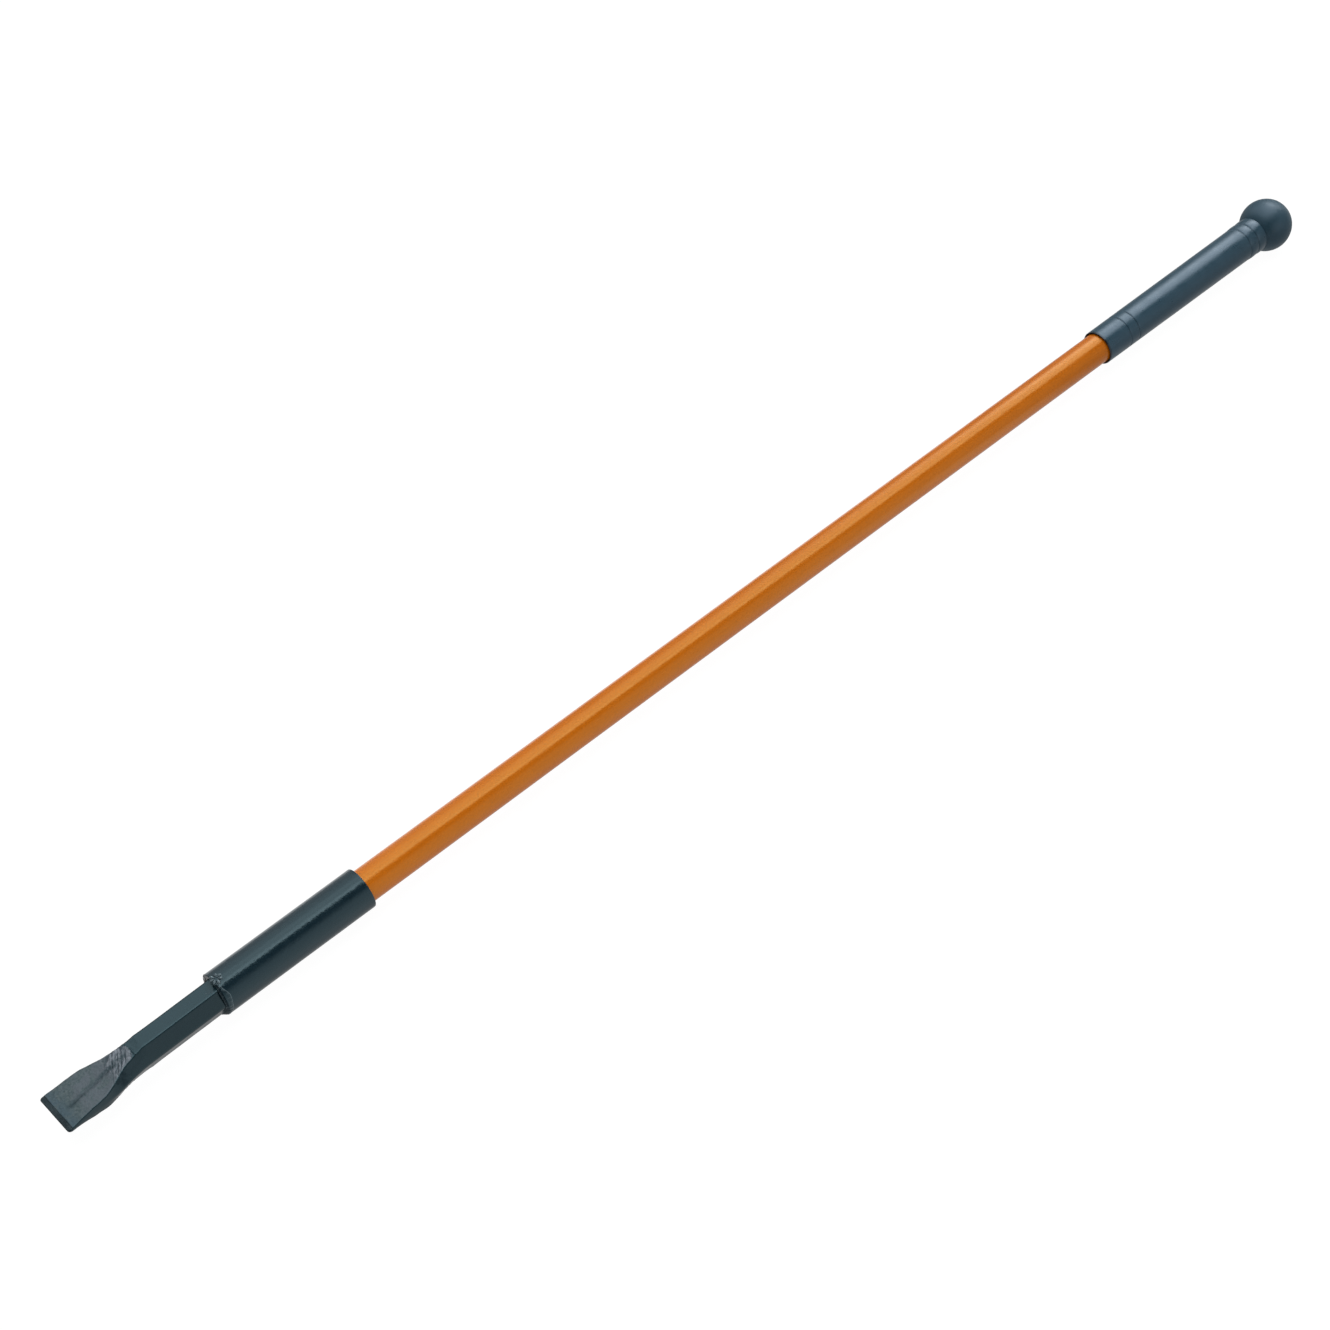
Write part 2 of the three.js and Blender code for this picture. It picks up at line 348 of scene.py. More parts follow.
def set_off_axis(points):
    """Shifts the chisel bar's points towards -Y, by an amount that grows from the weld on."""
    x = points[..., 0]
    run = np.clip(TUBE_START - x, 0, TUBE_START - SLANT_END)
    outside = 1 - ease(x, TUBE_START - 2, TUBE_START + 4)
    shift = (SHANK_OFFSET + SHANK_SLANT * run) * outside
    shift += LOPSIDED * bump_at(x - LOPSIDED_STATION, LOPSIDED_LENGTH)
    moved = points.copy()
    moved[..., 1] -= shift
    return moved


# Layers of noise are (height, size, seed, stretch along X) here and below.
DENTS = ((0.34, 17, 1, 1), (0.16, 7.5, 2, 1), (0.06, 2.6, 3, 1))
PLAIN_SHARE = 0.13  # of the dents' height that the rolled hexagon keeps
EDGE_SHARE = 0.25  # of the dents' height that the ground edge keeps

# Marks on the forged faces. The crease's and the scars' centre lines are straight.
CREASE_START = 8.0
CREASE_END = 60.0
CREASE_SIDE = -7.0  # y of the crease at x = 0, on the finished bar
CREASE_SLOPE = 0.057
CREASE_DEPTH, CREASE_WIDTH = 0.3, 1.8
BANK_HEIGHT, BANK_WIDTH = 0.12, 0.9  # the low banks on both sides of the crease
BANK_OFFSET = 2.2
BLADE_OFFSET = 2.9  # about how far the blade is shifted towards -Y
WANDER = 0.9  # how far the marks stray from their centre lines
SCAR_LEAN = 0.6  # how far a scar moves along X for each mm across
SCAR_STATIONS = (55.5, 61.0, 64.5, 68.5)
SCAR_DEPTHS = (0.2, 0.3)  # in turn
SCAR_WIDTH = 0.6
BURR_HEIGHT, BURR_WIDTH = 0.16, 0.55  # thrown up beside each scar
PATCH_START = 55.0
PATCH_HEIGHT, PATCH_LUMPS = 0.16, 0.2
LIP_STATION = 76.0
LIP_HEIGHT, LIP_WIDTH = 0.55, 0.7
LIP_SIDE = -4.0
LIP_REACH = 3.4  # half of its length across the blade
EDGE_BURR_STATION = BEVEL_LENGTH + 0.9
EDGE_BURR_HEIGHT, EDGE_BURR_LUMPS = 0.12, 0.08


def dented_skin(points):
    """Dents all over, deepest on the forged part behind the ground edge."""
    x = points[..., 0]
    forged = 1 - ease(x, FORGED_LENGTH - 4, FORGED_LENGTH + 2)
    shares = blend(PLAIN_SHARE, 1, forged) * blend(EDGE_SHARE, 1, ease(x, 0.3, 5))
    return layered_noise(points, DENTS) * shares


def crease_relief(x, y, wander, side, mirrored):
    """The long crease on one face, with a low bank on both sides of it."""
    within = ease(x, CREASE_START, CREASE_START + 5) * (1 - ease(x, CREASE_END - 6, CREASE_END))
    away = mirrored * (y - BLADE_OFFSET) + wander - CREASE_SIDE - CREASE_SLOPE * x
    banks = BANK_HEIGHT * bump_at(np.abs(away) - BANK_OFFSET, BANK_WIDTH)
    return side * within * (banks - CREASE_DEPTH * bump_at(away, CREASE_WIDTH))


def scar_relief(x, y, wander):
    """Slanting hammer scars, each with a burr beside it."""
    relief = 0
    for number, station in enumerate(SCAR_STATIONS):
        away = x - station - SCAR_LEAN * (y + 3) + wander * 0.5
        depth = SCAR_DEPTHS[number % 2]
        relief += BURR_HEIGHT * bump_at(away - 1.2, BURR_WIDTH) - depth * bump_at(away, SCAR_WIDTH)
    return relief


def patch_relief(points):
    """The lumpy patch of scale that ends at the lip, and the burr behind the ground bevel."""
    x = points[..., 0]
    patch = ease(x, PATCH_START, PATCH_START + 5)
    patch *= 1 - ease(x, LIP_STATION - 1.2, LIP_STATION + 0.2)
    relief = patch * (PATCH_HEIGHT + PATCH_LUMPS * noise_at(points, 3.2, 5))
    burr = EDGE_BURR_HEIGHT + EDGE_BURR_LUMPS * noise_at(points, 4.0, 6)
    return relief + burr * bump_at(x - EDGE_BURR_STATION, 0.6)


def forged_relief(points, normals):
    """How far the hammer, the scale and the paint push the surface out, in mm."""
    x, y = points[..., 0], points[..., 1]
    upper = ease(normals[..., 2], 0.55, 0.85)
    lower = ease(-normals[..., 2], 0.55, 0.85)
    wander = noise_at(points * np.array([1.0, 0.0, 0.0]), 6.0, 4) * WANDER
    relief = dented_skin(points)
    relief += crease_relief(x, y, wander, upper, 1)
    relief += crease_relief(x, y, wander, lower, -1)
    relief += (upper + lower) * (scar_relief(x, y, wander) + patch_relief(points))
    lip_end = bump_at(np.maximum(0, np.abs(y - LIP_SIDE) - LIP_REACH), 1.2)
    return relief + upper * LIP_HEIGHT * lip_end * bump_at(x - LIP_STATION, LIP_WIDTH)


SIDE_WAVE = 0.45


def side_forging(points):
    """Hammered, slightly uneven outline of the blade: change of half width in mm."""
    x, y = points[..., 0], points[..., 1]
    spread = 1 - ease(x, NARROWING_START + 15, FORGED_LENGTH)
    wave = noise_at(points * np.array([1.0, 0.2, 0.0]), 11, 8) * SIDE_WAVE
    return np.sign(y) * wave * spread * ease(np.abs(y), 9, 20) * ease(x, 1, 8)


def build_chisel_bar():
    """The forged blade and the plain hexagon behind it, up to the stub inside the tube."""
    stations = chisel_stations()
    rings = []
    for x in stations:
        section = rounded_section(blade_corners(x), CORNER_ROUNDING)
        rings.append([(x, y, z) for y, z in section])
    rings = np.array(rings, float)
    rings[..., 1] += side_forging(rings)
    normals = grid_normals(rings)
    rings += normals * forged_relief(rings, normals)[..., None]
    return piece_from_grid("chisel_bar_forged", set_off_axis(rings), sharp_degrees=50)


# ---- socket tube ----

TUBE_AROUND = 176
TUBE_SKIN = ((0.035, 14, 11, 0.35), (0.014, 4.5, 12, 1))
MOUTH_ROUND = 0.8
BORE_ROUND = 0.4
RIM_ROUND = 0.7
CUT_SKEW = 2.0
CUT_RAGGED = 0.18
CUT_REACH = 6.0  # how far from the cut end the tube's stations move with it


def cut_skew(angle):
    """How far the tube's sawn end stands back from square, most of it on top."""
    return CUT_SKEW * (0.5 + 0.5 * np.cos(angle))


def build_socket_tube():
    """The drawn tube, with a round mouth for the shaft and a skewed, ragged sawn end."""
    rim = arc(TUBE_START + RIM_ROUND, TUBE_RADIUS - RIM_ROUND, RIM_ROUND, 180, 90, 4)
    mouth = arc(TUBE_END - MOUTH_ROUND, TUBE_RADIUS - MOUTH_ROUND, MOUTH_ROUND, 90, 0, 5)
    inner = arc(TUBE_END - BORE_ROUND, BORE_RADIUS + BORE_ROUND, BORE_ROUND, 0, -90, 3)
    body = [(x, TUBE_RADIUS) for x in evenly(TUBE_START + 2, TUBE_END - 2, 1.6)]
    bore = [(x, BORE_RADIUS) for x in evenly(TUBE_END - 2, TUBE_START, 30)]
    rings = turned_rings(rim + body + mouth + inner + bore, TUBE_AROUND)
    outer = ease(from_axis(rings), BORE_RADIUS + 1, TUBE_RADIUS - 0.2)
    rings = swell(rings, layered_noise(rings, TUBE_SKIN) * outer)
    near_cut = 1 - ease(rings[..., 0], TUBE_START, TUBE_START + CUT_REACH)
    ragged = CUT_RAGGED * noise_at(rings, 3.5, 13)
    rings[..., 0] += near_cut * (cut_skew(angle_of(rings)) + ragged)
    return piece_from_grid("socket_tube_drawn", rings, loop_along=True, sharp_degrees=40)


# ---- welds ----

BEAD_AROUND = 300
BEAD_ACROSS = 18
BEAD_LUMPS = ((0.3, 3.0, 21, 1), (0.14, 1.3, 22, 1))
RIPPLES = 34
# Toes of the bead round the bar, in degrees from +Z towards -Y and mm from the cut end.
HEX_TOE = [(0, -0.2), (40, -1.2), (85, -1.2), (130, -4.3), (190, -5.0), (255, -0.4), (310, 1.0)]
TUBE_TOE = [(0, 0.8), (30, 2.6), (62, 5.4), (92, 4.2), (130, 1.4), (200, 1.6), (310, 0.6)]
BEAD_CROWN = 1.25
RIPPLE_HEIGHT = 0.2
SUNK_FOOT = 0.25  # how far the toe on the hexagon sits in the steel
HEAD_LIFT = 0.06  # how far the toe on the tube stands proud of it
CLIMB_START, CLIMB_END = -3.4, 0.6  # where the bead climbs the tube's end, from the cut
CLIMB_SHARE = 0.55  # of the rise that happens there and not evenly between the toes


def hexagon_radius(angle):
    """Distance from the axis to the hexagon's surface, with a flat on top."""
    sixth = math.radians(60)
    off_flat = (angle + sixth / 2) % sixth - sixth / 2
    return HEX_HALF_FLAT / np.cos(off_flat)


def build_socket_weld():
    """A bead whose upper side bulges between its toes and whose lower side lies in the joint."""
    angle = np.arange(BEAD_AROUND) / BEAD_AROUND * FULL_TURN
    cut = TUBE_START + cut_skew(angle)
    hex_toe = cut + around_interpolated(angle, HEX_TOE)
    tube_toe = cut + around_interpolated(angle, TUBE_TOE)
    foot = hexagon_radius(angle) - SUNK_FOOT
    head = np.full_like(angle, TUBE_RADIUS + HEAD_LIFT)
    rings = []
    on_bar = []
    for k in range(BEAD_ACROSS + 1):
        share = k / BEAD_ACROSS
        x = blend(hex_toe, tube_toe, share)
        rise = blend(share, ease(x, cut + CLIMB_START, cut + CLIMB_END), CLIMB_SHARE)
        radius = blend(foot, head, rise)
        crown = math.sin(math.pi * share) ** 0.7 * (1 - 0.45 * rise)
        ripple = np.sin(angle * RIPPLES + 1.6 * crown + 1.3 * np.sin(angle * 3))
        radius += crown * (BEAD_CROWN + RIPPLE_HEIGHT * ripple)
        rings.append(np.stack([x, radius], axis=-1))
        on_bar.append(1 - rise)
    # The hidden inside of the bead, from the tube's end back to the hexagon.
    root = np.stack([tube_toe - 0.5, head - 0.9], axis=-1)
    inside = np.stack([cut + 0.6, foot - 0.4], axis=-1)
    back = np.stack([hex_toe + 0.3, foot - 0.5], axis=-1)
    rings += [root, inside, back]
    on_bar += [np.zeros_like(angle), np.ones_like(angle), np.ones_like(angle)]
    grid = np.array(rings)
    y = -grid[..., 1] * np.sin(angle) - SHANK_OFFSET * np.array(on_bar)
    points = np.stack([grid[..., 0], y, grid[..., 1] * np.cos(angle)], axis=-1)
    skin = np.zeros(len(grid))
    skin[: BEAD_ACROSS + 1] = np.sin(np.linspace(0, math.pi, BEAD_ACROSS + 1)) ** 0.5
    points = swell(points, layered_noise(points, BEAD_LUMPS) * skin[:, None])
    return piece_from_grid("socket_weld_bead", points, loop_along=True, sharp_degrees=60)


PLUG_AROUND = 120
PLUG_RINGS = 30
PLUG_LUMPS = ((0.34, 1.7, 31, 1), (0.12, 0.8, 32, 1))
PLUG_TURN = math.radians(7.5)
PLUG_PETALS = 7
PLUG_SPREAD = 1.1  # the splashed rim reaches a little past the plain cap
PLUG_LIFT = 0.05
PLUG_SINK = 1.0  # how far its hidden foot reaches into the tube
# Heights as shares of the plain cap's height.
PETAL_HEIGHT = 1.25
RING_HEIGHT = 0.35
CRATER_DEPTH = 0.9


def build_plug_weld():
    """A splashed rosette of weld metal: uneven petals round a crater, lying on the tube."""
    reach_out = (PLUG_END - PLUG_START) / 2 * PLUG_SPREAD
    height = PLUG_TOP - TUBE_RADIUS * math.cos(PLUG_TURN)
    angle = np.arange(PLUG_AROUND) / PLUG_AROUND * FULL_TURN
    lobes = np.sin(angle * PLUG_PETALS + 0.8 * np.sin(2 * angle))
    rings = []
    for k in range(PLUG_RINGS + 1):
        share = k / PLUG_RINGS
        outline = 1 + 0.09 * lobes + 0.07 * np.sin(angle * 3 + 1)
        radius = reach_out * share * outline
        petal = PETAL_HEIGHT * bump_at(share - 0.66, 0.22) * 0.62 * (1 + lobes)
        inner_ring = RING_HEIGHT * bump_at(share - 0.34, 0.12) * (1 + 0.5 * np.sin(angle * 4))
        crater = CRATER_DEPTH * bump_at(share, 0.2)
        lift = height * (petal + inner_ring - crater)
        lift *= 1 - ease(np.full_like(angle, share), 0.88, 1.0)
        rings.append(np.stack([radius * np.cos(angle), radius * np.sin(angle), lift], axis=-1))
    sunk = rings[-1].copy()
    sunk[..., :2] *= 0.98
    sunk[..., 2] = -PLUG_SINK
    grid = np.array(rings + [sunk])
    lumps = layered_noise(grid, PLUG_LUMPS)
    rim = np.hypot(grid[..., 0], grid[..., 1])
    grid[..., 2] += lumps * (1 - ease(rim, 0.8 * reach_out, reach_out))
    # Wrap the flat rosette round the tube, then turn it to its place.
    turn = PLUG_TURN - grid[..., 1] / TUBE_RADIUS
    radius = TUBE_RADIUS + PLUG_LIFT + grid[..., 2]
    x = (PLUG_START + PLUG_END) / 2 + grid[..., 0]
    points = np.stack([x, -radius * np.sin(turn), radius * np.cos(turn)], axis=-1)
    return piece_from_grid("plug_weld_rosette", points, sharp_degrees=70)


# Weld drops, as (mm from the tube, mm towards -Y, length).
SPATTER = [
    (-7.6, 3.0, 1.6),
    (-5.3, 4.4, 1.9),
    (-4.6, 1.2, 1.2),
    (-9.8, -2.2, 1.0),
    (-3.4, 6.0, 1.1),
]
DROP_WIDTH = 0.42  # of its length
DROP_HEIGHT = 0.26  # of its length
DROP_SHAKE = 0.12


def build_spatter():
    """Small weld drops that froze on the top flat of the hexagon, each a squashed dome."""
    drops = bmesh.new()
    for along, across, size in SPATTER:
        spread = Matrix.Diagonal((size, size * DROP_WIDTH, size * DROP_HEIGHT, 1))
        place = Matrix.Translation((TUBE_START + along, -across - SHANK_OFFSET, HEX_HALF_FLAT))
        made = bmesh.ops.create_icosphere(drops, subdivisions=3, radius=0.5, matrix=place @ spread)
        for vertex in made["verts"]:
            shake = noise.noise(vertex.co * 1.7) * DROP_SHAKE
            vertex.co += vertex.co.normalized() * shake
    mesh = bpy.data.meshes.new("weld_spatter")
    drops.transform(Matrix.Scale(MM, 4))
    drops.to_mesh(mesh)
    drops.free()
    mesh.polygons.foreach_set("use_smooth", [True] * len(mesh.polygons))
    return put_in_scene("weld_spatter", mesh)


# ---- insulated shaft ----

SHAFT_AROUND = 112
SHAFT_SKIN = ((0.03, 12, 41, 0.16), (0.012, 3.4, 42, 0.16))


def build_shaft_sleeve():
    """The long orange sleeve, with faint draw marks along it."""
    inner_radius = LAYER_RADIUS + LAYER_GAP
    stations = evenly(SHAFT_START, TUBE_END - 6, 20)
    stations += evenly(TUBE_END - 3, GRIP_START + 4, 3.4)
    stations += evenly(GRIP_START + 8, SHAFT_END, 40)
    profile = [(x, SHAFT_RADIUS) for x in stations]
    profile += [(SHAFT_END, inner_radius), (SHAFT_START, inner_radius)]
    rings = turned_rings(profile, SHAFT_AROUND)
    outer = ease(from_axis(rings), inner_radius + 0.5, SHAFT_RADIUS - 0.3)
    rings = swell(rings, layered_noise(rings, SHAFT_SKIN) * outer)
    return piece_from_grid("shaft_sleeve_extruded", rings, loop_along=True, sharp_degrees=40)


# ---- grip and ball ----

GRIP_AROUND = 144
GRIP_SKIN = ((0.05, 15, 51, 0.4), (0.016, 5, 52, 1))
GRIP_LIP_RADIUS = 17.5
LIP_ROUND = 0.5
MOUTH_RADIUS = 16.5
MOUTH_DEPTH = 4.0
GROOVE_STATIONS = (1249.0, 1261.0, 1430.0, 1441.5)
GROOVE_HALF_WIDTH = 1.0
GROOVE_DEPTH = 0.6
WORN_GROOVE_DEPTH = 0.42  # the pair beside the ball
GROOVE_KEEP = 2.0  # plain stations stop this far from a groove's centre
BAND_CROWN = 0.42


def grip_radius_at(x):
    """Radius of the plain taper, plus the crown of the short bands next to the ball."""
    radius = np.interp(x, [GRIP_START, GRIP_END], [GRIP_LIP_RADIUS, GRIP_RADIUS])
    bands = GROOVE_STATIONS[2:] + (GRIP_END,)
    for start, end in zip(bands, bands[1:]):
        share = np.clip((x - start) / (end - start), 0, 1)
        radius = radius + BAND_CROWN * np.sin(math.pi * share) ** 0.8
    return radius


def groove_points(x):
    """Points across one ring groove with rounded shoulders."""
    places = x + np.linspace(-1.6, 1.6, 15) * GROOVE_HALF_WIDTH
    depth = WORN_GROOVE_DEPTH if x > GROOVE_STATIONS[1] else GROOVE_DEPTH
    dip = depth * bump_at((places - x) / GROOVE_HALF_WIDTH, 0.72)
    return list(zip(places, grip_radius_at(places) - dip))


def grip_profile():
    lip = arc(GRIP_START + LIP_ROUND, GRIP_LIP_RADIUS - LIP_ROUND, LIP_ROUND, 180, 90, 6)
    profile = [(GRIP_START + MOUTH_DEPTH, BORE_RADIUS), (GRIP_START + 0.4, MOUTH_RADIUS)] + lip
    start = GRIP_START + 3
    for groove in GROOVE_STATIONS:
        profile += [(x, grip_radius_at(x)) for x in evenly(start, groove - GROOVE_KEEP, 1.4)]
        profile += groove_points(groove)
        start = groove + GROOVE_KEEP
    profile += [(x, grip_radius_at(x)) for x in evenly(start, GRIP_END, 1.4)]
    return profile + [(GRIP_END, BORE_RADIUS)]


def build_grip():
    """The moulded grip: an open mouth round the shaft, a slow taper and four ring grooves."""
    rings = turned_rings(grip_profile(), GRIP_AROUND)
    outer = ease(from_axis(rings), BORE_RADIUS + 0.6, BORE_RADIUS + 1.4)
    rings = swell(rings, layered_noise(rings, GRIP_SKIN) * outer)
    return piece_from_grid("grip_moulding", rings, loop_along=True, sharp_degrees=35)


BALL_AROUND = 144
BALL_SKIN = ((0.05, 16, 61, 1), (0.02, 5, 62, 1))
PARTING_HEIGHT = 0.06
PARTING_WIDTH = 0.35


def build_ball():
    """A ball with a parting line along its middle and a blind bore for the rod's end."""
    seat_radius = math.sqrt(BALL_RADIUS ** 2 - (BALL_CENTRE - BALL_SEAT) ** 2)
    seat_angle = 180 - math.degrees(math.asin(seat_radius / BALL_RADIUS))
    bore_radius = KNOB_BOND_RADIUS + LAYER_GAP
    floor = CORE_END + SEAT_GAP
    outside = arc(BALL_CENTRE, 0, BALL_RADIUS, seat_angle, 0, 96)
    profile = [(floor, 0.01), (floor, bore_radius), (BALL_SEAT, bore_radius)] + outside
    rings = turned_rings(profile, BALL_AROUND)
    spokes = rings - np.array([BALL_CENTRE, 0, 0])
    length = np.linalg.norm(spokes, axis=-1)
    outer = ease(length, BALL_RADIUS - 0.6, BALL_RADIUS - 0.1)
    relief = layered_noise(rings, BALL_SKIN)
    relief += PARTING_HEIGHT * bump_at(rings[..., 1], PARTING_WIDTH)
    rings = rings + spokes / length[..., None] * (relief * outer)[..., None]
    return piece_from_grid("ball_moulding", rings, sharp_degrees=40)


# ---- node helpers ----

class Tree:
    """Short names for adding nodes to one shader tree. Lengths in the tree are millimetres."""

    def __init__(self, owner):
        owner.use_nodes = True
        self.owner = owner
        self.tree = owner.node_tree
        self.tree.nodes.clear()

    def add(self, kind, inputs=None, **settings):
        node = self.tree.nodes.new(kind)
        for name, value in settings.items():
            setattr(node, name, value)
        for key, value in (inputs or {}).items():
            self.feed(node.inputs[key], value)
        return node

    def feed(self, socket, value):
        """Links or sets an input. A colour's alpha is always 1."""
        if isinstance(value, bpy.types.NodeSocket):
            self.tree.links.new(value, socket)
        elif socket.type == "RGBA":
            socket.default_value = (*value, 1)
        else:
            socket.default_value = value

    def math(self, operation, a, b=0.0):
        return self.add("ShaderNodeMath", {0: a, 1: b}, operation=operation).outputs[0]

    def plus(self, a, b):
        return self.math("ADD", a, b)

    def minus(self, a, b):
        return self.math("SUBTRACT", a, b)

    def times(self, product, *factors):
        for factor in factors:
            product = self.math("MULTIPLY", product, factor)
        return product

    def coordinates(self, stretch=(1.0, 1.0, 1.0)):
        """Place on the piece in mm, shrunk along each axis by the stretch given."""
        source = self.add("ShaderNodeTexCoord").outputs["Object"]
        factors = tuple(s / MM for s in stretch)
        node = self.add("ShaderNodeVectorMath", {0: source, 1: factors}, operation="MULTIPLY")
        return node.outputs[0]

    def noise(self, place, size, detail=3.0, rough=0.55, twist=0.0):
        inputs = {"Vector": place, "Scale": 1 / size, "Detail": detail}
        inputs |= {"Roughness": rough, "Distortion": twist}
        return self.add("ShaderNodeTexNoise", inputs).outputs[0]

    def cells(self, place, size):
        inputs = {"Vector": place, "Scale": 1 / size}
        return self.add("ShaderNodeTexVoronoi", inputs).outputs["Distance"]

    def between(self, value, low, high, to_low=0.0, to_high=1.0):
        """Maps low..high to to_low..to_high, with a smooth step and clamped ends."""
        inputs = {"Value": value, "From Min": low, "From Max": high}
        inputs |= {"To Min": to_low, "To Max": to_high}
        node = self.add("ShaderNodeMapRange", inputs, interpolation_type="SMOOTHSTEP")
        return node.outputs[0]

    def mix(self, share, a, b):
        """A colour that runs from a to b as the share runs from 0 to 1."""
        return self.add("ShaderNodeMix", {0: share, 6: a, 7: b}, data_type="RGBA").outputs[2]

    def between_numbers(self, share, a, b):
        """A number that runs from a to b as the share runs from 0 to 1."""
        return self.add("ShaderNodeMix", {0: share, 2: a, 3: b}).outputs[0]

    def split(self, vector):
        return self.add("ShaderNodeSeparateXYZ", {0: vector}).outputs

    def normal(self):
        """X, Y and Z of the mesh's own normal."""
        return self.split(self.add("ShaderNodeNewGeometry").outputs["Normal"])

    def pointedness(self):
        """Above 0.5 on sharp crests and below it in hollows."""
        return self.add("ShaderNodeNewGeometry").outputs["Pointiness"]

    def camera_ray(self):
        """1 where the camera looks directly and 0 for light and reflections."""
        return self.add("ShaderNodeLightPath").outputs["Is Camera Ray"]

    def bump(self, height, depth, below=None):
        """Bump whose height runs from 0 to 1 over the given depth in mm."""
        inputs = {"Height": height, "Distance": depth * MM, "Strength": 1.0}
        if below is not None:
            inputs["Normal"] = below
        return self.add("ShaderNodeBump", inputs).outputs[0]

    def surface(self, colour, roughness, normal, shine=0.5, shine_tint=(1, 1, 1)):
        """Adds the final shader and gives the finished material."""
        inputs = {
            "Base Color": colour,
            "Roughness": roughness,
            "Normal": normal,
            "Specular IOR Level": shine,
            "Specular Tint": shine_tint,
        }
        self.show(self.add("ShaderNodeBsdfPrincipled", inputs), "ShaderNodeOutputMaterial")
        return self.owner

    def show(self, shader, output_kind):
        self.add(output_kind, {"Surface": shader.outputs[0]})


def new_material(name):
    return Tree(bpy.data.materials.new(name))


# ---- materials ----

# Tints of the highlights.
SLATE_SHINE = (0.66, 0.92, 1.0)
ORANGE_SHINE = (1.0, 0.73, 0.25)
MOULDED_SHINE = (0.7, 0.84, 1.0)


def slate_paint_material():
    """Semi-gloss slate paint with orange peel, thin worn places and faint draw lines."""
    tree = new_material("slate_paint_on_drawn_tube")
    place = tree.coordinates()
    drawn = tree.coordinates((0.12, 1.0, 1.0))
    mottle = tree.noise(place, 9, 5, 0.6)
    lines = tree.noise(drawn, 1.4, 3, 0.6)
    colour = tree.mix(mottle, (0.0025, 0.011, 0.017), (0.006, 0.018, 0.026))
    colour = tree.mix(tree.times(lines, 0.4), colour, (0.006, 0.017, 0.025))
    scuffs = tree.between(tree.noise(drawn, 3.0, 6, 0.7), 0.66, 0.8, 0, 0.5)
    colour = tree.mix(scuffs, colour, (0.024, 0.036, 0.042))
    roughness = tree.between(mottle, 0.3, 0.7, 0.14, 0.22)
    peel = tree.bump(tree.noise(place, 3.4, 2, 0.5), 0.16)
    normal = tree.bump(lines, 0.02, below=peel)
    # Painted shade: faces turned towards the blade, at the tube's sawn end, get only a weak
    # reflection.
    shine = tree.between(tree.normal()[0], -0.7, -0.3, 0.05, 0.5)
    return tree.surface(colour, roughness, normal, shine, SLATE_SHINE)


def hammer_marks(tree, x, y):
    """Masks for the forged faces: the dark groove, the slanting strokes and their patch."""
    place = tree.coordinates()
    wander = tree.noise(tree.coordinates((1.0, 0.12, 0.0)), 5.0, 3)
    wander = tree.times(tree.minus(wander, 0.5), 8.0)
    centre = tree.plus(tree.times(x, CREASE_SLOPE), CREASE_SIDE)
    beside = tree.math("ABSOLUTE", tree.minus(tree.plus(y, wander), centre))
    # The crease is coloured darker, unevenly along its length.
    crease_darkness = tree.between(tree.noise(place, 5.5, 4, 0.65), 0.40, 0.58, 0.45, 1.0)
    start = tree.between(x, CREASE_START, CREASE_START + 6)
    groove = tree.times(tree.between(beside, 4.4, 0.2), crease_darkness, start, tree.between(x, 78, 66))
    bent = tree.times(tree.noise(place, 9, 3, 0.5), 9.0)
    across = tree.plus(tree.minus(x, tree.times(y, SCAR_LEAN)), bent)
    along = tree.plus(y, tree.times(x, SCAR_LEAN))
    slanted = tree.add("ShaderNodeCombineXYZ", {0: across, 1: tree.times(along, 0.32)})
    streaks = tree.noise(slanted.outputs[0], 3.4, 5, 0.7)
    ragged = tree.times(tree.noise(place, 6, 4), 12.0)
    patch = tree.between(tree.plus(x, ragged), PATCH_START, PATCH_START + 9)
    return groove, streaks, patch


def blade_mask(tree, place, x, y, upright):
    """1 on the blade's broad faces, from the bevel to a ragged line that curves past the lip."""
    curve = tree.times(tree.math("POWER", tree.plus(y, 3.0), 2), 0.035)
    ragged = tree.plus(x, tree.times(tree.noise(place, 5, 4), 4.0))
    before_lip = tree.between(tree.plus(ragged, curve), LIP_STATION + 1.6, LIP_STATION + 0.4)
    behind_bevel = tree.between(x, BEVEL_LENGTH - 0.4, BEVEL_LENGTH + 0.4)
    return tree.times(before_lip, behind_bevel, tree.between(upright, 0.86, 0.96))


def rolled_paint_colour(tree, x, upright, rim, mottle, speck):
    """Clean paint with painted shade on the slanting flanks and the +Y rims, and worn on the
    ground bevel.
    """
    clean = tree.mix(mottle, (0.005, 0.020, 0.027), (0.010, 0.029, 0.038))
    clean = tree.mix(tree.between(speck, 0.55, 0.75, 0, 0.4), clean, (0.015, 0.026, 0.040))
    # Painted shade: a darker copy of the paint for the slanting flanks, picked by the normal.
    painted_flank_shade = tree.mix(mottle, (0.001, 0.006, 0.010), (0.004, 0.013, 0.018))
    clean = tree.mix(tree.between(upright, 0.66, 0.8), painted_flank_shade, clean)
    # Painted shade along the rounded rims on the +Y side.
    clean = tree.mix(rim, clean, (0.001, 0.004, 0.006))
    bevel = tree.between(x, BEVEL_LENGTH + 0.6, BEVEL_LENGTH - 0.2)
    worn = tree.mix(tree.between(speck, 0.4, 0.7), (0.003, 0.007, 0.010), (0.015, 0.021, 0.026))
    return tree.mix(bevel, clean, worn)


